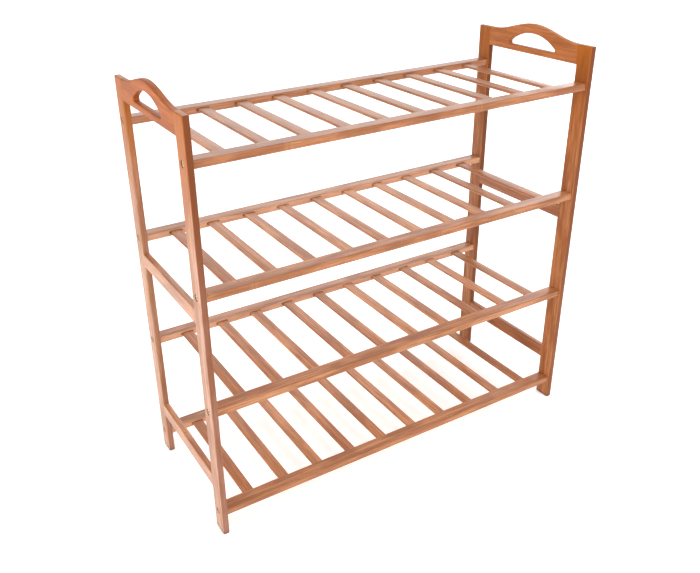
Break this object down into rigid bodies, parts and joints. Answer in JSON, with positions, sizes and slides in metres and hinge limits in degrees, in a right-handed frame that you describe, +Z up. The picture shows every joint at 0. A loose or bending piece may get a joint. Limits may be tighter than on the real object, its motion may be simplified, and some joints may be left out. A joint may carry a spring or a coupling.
{
  "type": "tiered shoe rack",
  "caption": "Free-standing slatted bamboo shoe rack: open tiers between two side frames with arched handle boards.",
  "frame": {"origin": "middle of the footprint, on the floor", "axes": "+X to the right along the width, +Y towards the rear, +Z up"},
  "size_m": [0.67, 0.255, 0.66],
  "materials": {
    "frame_bamboo": "carbonised bamboo, orange-brown, satin lacquer",
    "rail_bamboo": "carbonised bamboo, orange-brown, satin lacquer",
    "slat_bamboo": "carbonised bamboo, slightly paler, satin lacquer",
    "bolt_steel": "yellow zinc plated"
  },
  "bodies": {
    "root": {"post_left_front": "frame_bamboo", "post_left_rear": "frame_bamboo", "post_right_front": "frame_bamboo", "post_right_rear": "frame_bamboo", "handle_board_left": "frame_bamboo", "handle_board_right": "frame_bamboo", "stretcher_left_lower": "frame_bamboo", "stretcher_left_upper": "frame_bamboo", "stretcher_right_lower": "frame_bamboo", "stretcher_right_upper": "frame_bamboo", "tier1_rail_front": "rail_bamboo", "tier1_rail_rear": "rail_bamboo", "tier2_rail_front": "rail_bamboo", "tier2_rail_rear": "rail_bamboo", "tier3_rail_front": "rail_bamboo", "tier3_rail_rear": "rail_bamboo", "tier4_rail_front": "rail_bamboo", "tier4_rail_rear": "rail_bamboo", "tier1_slat_01": "slat_bamboo", "tier1_slat_02": "slat_bamboo", "tier1_slat_03": "slat_bamboo", "tier1_slat_04": "slat_bamboo", "tier1_slat_05": "slat_bamboo", "tier1_slat_06": "slat_bamboo", "tier1_slat_07": "slat_bamboo", "tier1_slat_08": "slat_bamboo", "tier1_slat_09": "slat_bamboo", "tier1_slat_10": "slat_bamboo", "tier2_slat_01": "slat_bamboo", "tier2_slat_02": "slat_bamboo", "tier2_slat_03": "slat_bamboo", "tier2_slat_04": "slat_bamboo", "tier2_slat_05": "slat_bamboo", "tier2_slat_06": "slat_bamboo", "tier2_slat_07": "slat_bamboo", "tier2_slat_08": "slat_bamboo", "tier2_slat_09": "slat_bamboo", "tier2_slat_10": "slat_bamboo", "tier3_slat_01": "slat_bamboo", "tier3_slat_02": "slat_bamboo", "tier3_slat_03": "slat_bamboo", "tier3_slat_04": "slat_bamboo", "tier3_slat_05": "slat_bamboo", "tier3_slat_06": "slat_bamboo", "tier3_slat_07": "slat_bamboo", "tier3_slat_08": "slat_bamboo", "tier3_slat_09": "slat_bamboo", "tier3_slat_10": "slat_bamboo", "tier4_slat_01": "slat_bamboo", "tier4_slat_02": "slat_bamboo", "tier4_slat_03": "slat_bamboo", "tier4_slat_04": "slat_bamboo", "tier4_slat_05": "slat_bamboo", "tier4_slat_06": "slat_bamboo", "tier4_slat_07": "slat_bamboo", "tier4_slat_08": "slat_bamboo", "tier4_slat_09": "slat_bamboo", "tier4_slat_10": "slat_bamboo"}
  },
  "joints": []
}
